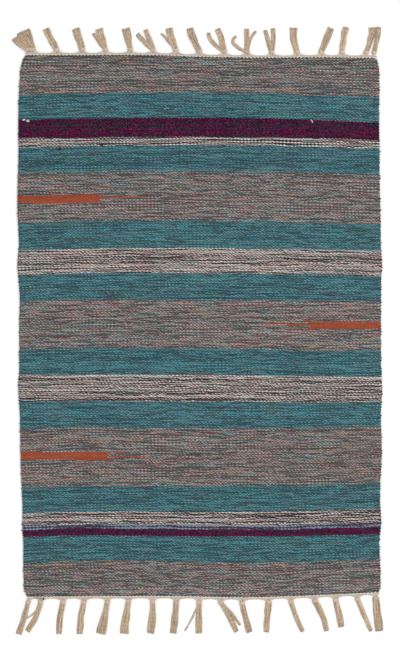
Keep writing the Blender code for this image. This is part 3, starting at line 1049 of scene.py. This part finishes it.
def edge_mesh(name, end, draw):
    """The beads of the outermost pick, which stand over the inner side of the heading."""
    low, high = CORNERS_MM[end]
    length, radius, height = EDGE_BEAD_MM
    from_low, from_high = EDGE_FROM_CORNERS_MM
    middles = np.arange(low + from_low, high - from_high, EDGE_PITCH_MM)[:, None]
    share = np.linspace(-1.0, 1.0, 7)
    off_x = draw.normal(0, EDGE_UNEVEN_MM["along"], middles.shape)
    off_y = draw.normal(0, EDGE_UNEVEN_MM["across"], middles.shape)
    x = (middles + share * length / 2 + off_x) * MM
    y = end_line(x, end) + (-OUTWARDS[end] * EDGE_IN_MM[end] + off_y) * MM
    z = np.broadcast_to((height - EDGE_DROP_MM * share**2) * MM, x.shape)
    radii = radius * MM * (1 - EDGE_TAPER * share**2)
    return tubes(name, np.stack([x, y, z], axis=2), radii, TWINE_SIDES)


class KILIM_OT_twine_headings(bpy.types.Operator):
    """Twine the cream cords along both ends of the field, and a thin cord outside each"""

    bl_idname = "kilim.twine_headings"
    bl_label = "Twine the Headings"

    def execute(self, context):
        colours = context.scene.kilim_colours
        for cord, out, height, swing, radius, pitch, colour in CORDS:
            material = yarn_material(f"{cord}_cotton", tuple(getattr(colours, colour)), *CORD_SPIN)
            for end in ENDS:
                name = f"{cord}_{end}"
                mesh = cord_mesh(name, end, out, height, swing, radius, pitch)
                piece = add_piece(name, mesh, material)
                if cord == "twine":
                    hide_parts(f"heading_{end}")
        draw = np.random.default_rng(context.scene.kilim_sizes.seed + 17)
        material = yarn_material("edge_pick_cotton", tuple(colours.edge_pick), *EDGE_SPIN)
        for end in ENDS:
            name = f"edge_pick_{end}"
            add_piece(name, edge_mesh(name, end, draw), material)
        return {"FINISHED"}


STRAND_POINTS = 16
STRAND_SIDES = 8
STRAND_ENDS = (0.9, 0.55)
STRAND_THICKNESSES = (0.85, 1.15)
STRAND_LIFT_MM = 1.5
STRAND_BOW_MM = 0.5
STRAND_BOWS = (-0.2, 1.0)
STRAND_WOBBLES_MM = (0.2, 0.7)
STRAND_WOBBLE_TURNS = (0.7, 2.2)
STRAND_UNEVEN_MM = 0.12
CUT_UNEVEN_MM = 1.2

# The two layers of yarn in a lock, in radii of its yarn: the height of the lower one, how far the upper one
# stands over it, how much of that is lost by the tip, and how loosely they lie.
LAYER_HEIGHT = 1.05
LAYER_STEP = 1.35
LAYER_LOSS = 0.35
LAYER_LOOSENESS = 1.15
LOCK_PINCH = 0.88
KNOT_OUT_MM = 9.0
KNOT_HEIGHT_MM = 3.15
KNOT_HALF_WIDTH_MM = 3.3
KNOT_HALF_DEPTH_MM = 2.15
WRAPS = 3
WRAP_POINTS = 26
WRAP_TURNS = 1.75
WRAP_SPACING_MM = 1.15
WRAP_SLANT_MM = 1.8
WRAP_TUCK = 0.28
WRAP_START = 0.15
WRAP_UNEVEN = 0.08
WRAP_THICKNESS = 0.95
KNOT_SIZES = (0.92, 1.1)
GATHER_FROM_MM = 2.9
GATHER_INTO_MM = 1.5
GATHER_SHORT = 0.09
GATHER_BEND = 0.35
GATHER_SWEEP = 1.8
GATHER_SWEEP_MM = 18
GATHER_SIDES = 6
GATHER_HEIGHTS_MM = (2.0, 3.1)
GATHER_UNEVEN_MM = 0.35
GATHER_THICKNESS = 0.85


def smooth_step(share):
    return share * share * (3 - 2 * share)


def eased(share, by):
    """Rises smoothly from 0 to 1 over this first part of the way."""
    return smooth_step(np.clip(share / by, 0, 1))


def knot_y(knot_x, end):
    """Y of the middle of a knot, outwards of the field's end."""
    return float(end_line(knot_x * MM, end)) + OUTWARDS[end] * KNOT_OUT_MM * MM


def lock_path(lock, end, share):
    """The middle line of a lock in plan, the way across it, and its half width, at shares of its length."""
    knot_x, mid_x, tip_x, tip_y, neck_width, tip_width = lock
    start = np.array((knot_x * MM, knot_y(knot_x, end)))
    tip = np.array((tip_x, tip_y)) * MM
    middle = np.array((mid_x * MM, (start[1] + tip[1]) / 2))
    t = share[:, None]
    path = (1 - t) * (1 - 2 * t) * start + 4 * t * (1 - t) * middle + t * (2 * t - 1) * tip
    along = np.gradient(path, axis=0)
    along /= np.linalg.norm(along, axis=1, keepdims=True)
    across = np.stack([-along[:, 1], along[:, 0]], axis=1)
    width = neck_width + (tip_width - neck_width) * smooth_step(share)
    pinch = LOCK_PINCH + (1 - LOCK_PINCH) * eased(share, 0.3)
    return path, across, width * pinch / 2 * MM


def strand_paths(locks, end, sizes, draw):
    """Every warp end from its knot to its tip."""
    share = np.linspace(0.0, 1.0, STRAND_POINTS)
    paths = []
    for lock in locks:
        path, across, half = lock_path(lock, end, share)
        length = np.linalg.norm(np.diff(path, axis=0), axis=1).sum()
        neck_width, tip_width = lock[4:]
        count = max(2, round((neck_width + tip_width) / 2 * sizes.strands_per_mm))
        inner = half - 0.6 * sizes.fringe_radius
        for number in range(count):
            place = -1 + 2 * (number + 0.5) / count + draw.normal(0, 0.5 / count)
            wobble = draw.uniform(*STRAND_WOBBLES_MM) * MM * np.sin(
                math.tau * (share * draw.uniform(*STRAND_WOBBLE_TURNS) + draw.random())
            )
            side = np.clip(place, -1, 1) * inner + wobble * smooth_step(np.clip(share * 3, 0, 1))
            radii_up = LAYER_HEIGHT + LAYER_STEP * (number % 2) * (1 - LAYER_LOSS * share)
            top = radii_up * sizes.fringe_radius * LAYER_LOOSENESS
            lift = STRAND_LIFT_MM * MM * (1 - eased(share, 0.25))
            z = top + lift + draw.normal(0, STRAND_UNEVEN_MM) * MM
            z = z + STRAND_BOW_MM * MM * np.sin(math.pi * share) * draw.uniform(*STRAND_BOWS)
            cut = 1 - max(0.0, draw.normal(0.0, CUT_UNEVEN_MM)) * MM / length
            strand = np.column_stack([path + across * side[:, None], z])
            if cut < 1:
                at = share * cut
                strand = np.column_stack([np.interp(at, share, strand[:, axis]) for axis in range(3)])
            paths.append(strand)
    return np.array(paths)


def gather_paths(locks, end, draw):
    """Each warp end from the heading sideways into the nearest knot."""
    knots = np.array(sorted({lock[0] for lock in locks})) * MM
    warps = np.linspace(0, WARPS, WARPS)
    x, _ = weave_place(warps, np.full(len(warps), 0.0 if end == "far" else PICKS - 1.0))
    nearest = knots[np.abs(x[:, None] - knots).argmin(axis=1)]
    share = np.linspace(0.0, 1.0, 7)
    bend = smooth_step(share) * GATHER_BEND + share * (1 - GATHER_BEND)
    low, high = GATHER_HEIGHTS_MM
    paths = []
    for start_x, knot_x in zip(x, nearest):
        start_y = float(end_line(start_x, end)) + OUTWARDS[end] * GATHER_FROM_MM * MM
        into_y = knot_y(knot_x / MM, end) - OUTWARDS[end] * GATHER_INTO_MM * MM
        reach = knot_x - start_x
        path_x = start_x + (knot_x - GATHER_SHORT * reach - start_x) * bend
        sweep = 1.0 + GATHER_SWEEP * min(1.0, abs(reach) / (GATHER_SWEEP_MM * MM))
        path_y = start_y + (into_y - start_y) * share**sweep
        bow = draw.normal(0, GATHER_UNEVEN_MM) * np.sin(math.pi * share)
        z = (low + (high - low) * share + bow) * MM
        paths.append(np.column_stack([path_x, path_y, z]))
    return np.array(paths)


def wrap_paths(locks, end, draw):
    """The turns of each overhand knot: a few warp ends wound round the neck of the tassel."""
    paths = []
    share = np.linspace(0.0, 1.0, WRAP_POINTS)
    tuck = 1 - WRAP_TUCK + WRAP_TUCK * np.sin(math.pi * share) ** 0.4
    for knot_x in sorted({lock[0] for lock in locks}):
        mine = [lock for lock in locks if lock[0] == knot_x]
        lean = np.mean([(lock[1] - knot_x) for lock in mine]) * MM
        centre = np.array((knot_x * MM, knot_y(knot_x, end)))
        reach = np.mean([lock[3] for lock in mine]) * MM - centre[1]
        along = np.array((lean, reach * 0.5))
        along /= np.linalg.norm(along)
        across = np.array((-along[1], along[0]))
        size = draw.uniform(*KNOT_SIZES)
        for number in range(WRAPS):
            turn = math.tau * (share * WRAP_TURNS + WRAP_START) + draw.normal(0, WRAP_UNEVEN)
            slide = ((number - 1.0) * WRAP_SPACING_MM + (share - 0.5) * WRAP_SLANT_MM) * MM
            side = KNOT_HALF_WIDTH_MM * MM * size * tuck * np.cos(turn)
            lift = KNOT_HALF_DEPTH_MM * MM * tuck * np.sin(turn)
            plan = centre + along * slide[:, None] + across * side[:, None]
            paths.append(np.column_stack([plan, KNOT_HEIGHT_MM * MM + lift]))
    return np.array(paths)


class KILIM_OT_knot_fringes(bpy.types.Operator):
    """Gather the warp ends into knots and let them out as tassels at both ends"""

    bl_idname = "kilim.knot_fringes"
    bl_label = "Knot the Fringes"

    def execute(self, context):
        sizes, colours = context.scene.kilim_sizes, context.scene.kilim_colours
        cotton = yarn_material("unbleached_cotton", tuple(colours.fringe), *FRINGE_SPIN)
        # The knots and gathered ends are lighter than the fringe: partly a pinker tint, partly a painted
        # highlight on the knots.
        knotted = yarn_material("knotted_cotton", tuple(colours.knots), *KNOT_SPIN)
        taper = np.ones(STRAND_POINTS)
        taper[-2:] = STRAND_ENDS
        for end, locks in (("far", FAR_LOCKS), ("near", NEAR_LOCKS)):
            draw = np.random.default_rng(sizes.seed + 21 + (end == "far"))
            strands = strand_paths(locks, end, sizes, draw)
            radii = sizes.fringe_radius * draw.uniform(*STRAND_THICKNESSES, (len(strands), 1)) * taper
            name = f"tassels_{end}"
            tassels = add_piece(name, tubes(name, strands, radii, STRAND_SIDES), cotton)
            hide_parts(f"fringe_{end}")
            for name, make_paths, thickness, sides in (
                (f"gathered_ends_{end}", gather_paths, GATHER_THICKNESS, GATHER_SIDES),
                (f"knots_{end}", wrap_paths, WRAP_THICKNESS, STRAND_SIDES),
            ):
                paths = make_paths(locks, end, draw)
                mesh = tubes(name, paths, sizes.fringe_radius * thickness, sides)
                add_piece(name, mesh, knotted)
        return {"FINISHED"}


SLUB_POINTS = 7
SLUB_SIDES = 8
SLUB_LIFT_MM = 0.5
SLUB_TAPER = 1.9


class KILIM_OT_scatter_slubs(bpy.types.Operator):
    """Catch a few bits of stray yarn on the face of the weave"""

    bl_idname = "kilim.scatter_slubs"
    bl_label = "Scatter the Slubs"

    def execute(self, context):
        colours, sizes = context.scene.kilim_colours, context.scene.kilim_sizes
        share = np.linspace(-0.5, 0.5, SLUB_POINTS)
        height = np.full(SLUB_POINTS, sizes.crown + SLUB_LIFT_MM * MM)
        paths, radii, tints = [], [], []
        for x, y, length, width, turn, colour in SLUBS:
            way = np.array((math.cos(math.radians(turn)), math.sin(math.radians(turn)))) * length * MM
            plan = np.array((x, y)) * MM + share[:, None] * way
            paths.append(np.column_stack([plan, height]))
            radii.append(width / 2 * MM * np.sqrt(1 - (SLUB_TAPER * share) ** 2))
            tints.append((*getattr(colours, colour), 1.0))
        mesh = tubes("slubs", np.array(paths), np.array(radii), SLUB_SIDES)
        layer = mesh.color_attributes.new("tint", "FLOAT_COLOR", "POINT")
        by_point = np.repeat(np.array(tints), SLUB_POINTS * SLUB_SIDES, axis=0)
        layer.data.foreach_set("color", by_point.ravel())
        add_piece("slubs", mesh, slub_material())
        return {"FINISHED"}


# ---------------------------------------------------------------------------- stage

VIEW_LENGTH = 1.1039
VIEW_CENTRE = (0.0008, -0.0025)
LENS_MM = 70.0
SENSOR_MM = 36.0
FLOOR_SIZE = 12.0
FLOOR_BELOW_MM = 0.3
ROOM_LIGHT = 0.70
LIGHTS = (
    # name, place, size, power
    ("key", (1.60, 0.28, 3.35), 2.1, 93.0),
    ("fill", (-1.2, -0.9, 2.4), 2.2, 22.0),
)


class KILIM_OT_set_stage(bpy.types.Operator):
    """Lay the pale floor and set the soft lights and the camera above the rug"""

    bl_idname = "kilim.set_stage"
    bl_label = "Set the Stage"

    def execute(self, context):
        scene = context.scene
        scene.view_settings.view_transform = "Standard"
        bpy.ops.mesh.primitive_plane_add(size=FLOOR_SIZE, location=(0.0, 0.0, -FLOOR_BELOW_MM * MM))
        floor = context.object
        floor.name = "floor"
        floor.data.materials.append(floor_material(tuple(scene.kilim_colours.floor)))

        world = bpy.data.worlds.new("soft_room")
        world.use_nodes = True
        background = world.node_tree.nodes["Background"]
        background.inputs["Color"].default_value = (1.0, 1.0, 1.0, 1.0)
        background.inputs["Strength"].default_value = ROOM_LIGHT
        scene.world = world
        for name, place, size, power in LIGHTS:
            light = bpy.data.lights.new(name, "AREA")
            light.shape = "SQUARE"
            light.size = size
            light.energy = power
            lamp = bpy.data.objects.new(name, light)
            lamp.location = place
            lamp.rotation_euler = (-Vector(place)).to_track_quat("-Z", "Y").to_euler()
            scene.collection.objects.link(lamp)

        camera = bpy.data.objects.new("camera", bpy.data.cameras.new("camera"))
        camera.data.lens = LENS_MM
        camera.data.sensor_width = SENSOR_MM
        camera.data.dof.use_dof = False
        height = VIEW_LENGTH * LENS_MM / SENSOR_MM + scene.kilim_sizes.crown
        camera.location = (*VIEW_CENTRE, height)
        scene.collection.objects.link(camera)
        bpy.context.scene.camera = camera
        return {"FINISHED"}


# ---------------------------------------------------------------------------- add-on


class KILIM_PT_panel(bpy.types.Panel):
    """The rug's sizes, colours and making steps"""

    bl_label = "Kilim Rug"
    bl_idname = "KILIM_PT_panel"
    bl_space_type = "VIEW_3D"
    bl_region_type = "UI"
    bl_category = "Kilim Rug"

    def draw(self, context):
        layout = self.layout
        for group in (context.scene.kilim_sizes, context.scene.kilim_colours):
            column = layout.column()
            for name in group.__annotations__:
                column.prop(group, name)
        for operator in OPERATORS:
            layout.operator(operator.bl_idname)


OPERATORS = (
    KILIM_OT_weave_field,
    KILIM_OT_turn_selvedges,
    KILIM_OT_twine_headings,
    KILIM_OT_knot_fringes,
    KILIM_OT_scatter_slubs,
    KILIM_OT_set_stage,
)
CLASSES = (KilimSizes, KilimColours, *OPERATORS, KILIM_PT_panel)


def register():
    for cls in CLASSES:
        bpy.utils.register_class(cls)
    bpy.types.Scene.kilim_sizes = PointerProperty(type=KilimSizes)
    bpy.types.Scene.kilim_colours = PointerProperty(type=KilimColours)


def unregister():
    del bpy.types.Scene.kilim_sizes
    del bpy.types.Scene.kilim_colours
    for cls in reversed(CLASSES):
        bpy.utils.unregister_class(cls)


def declare_sheet():
    """The weave is one sheet, and everything else is sewn, twined or knotted to it. This lists the names of
    the other pieces and does nothing more with them.
    """
    trims = ("edge_pick", "twine", "binding", "tassels", "gathered_ends", "knots")
    names = ["selvedge_left", "selvedge_right", "slubs"]
    names += [f"{trim}_{end}" for trim in trims for end in ENDS]


def main():
    register()
    for operator in OPERATORS:
        group, name = operator.bl_idname.split(".")
        getattr(getattr(bpy.ops, group), name)()
    declare_sheet()


if __name__ == "__main__":
    main()
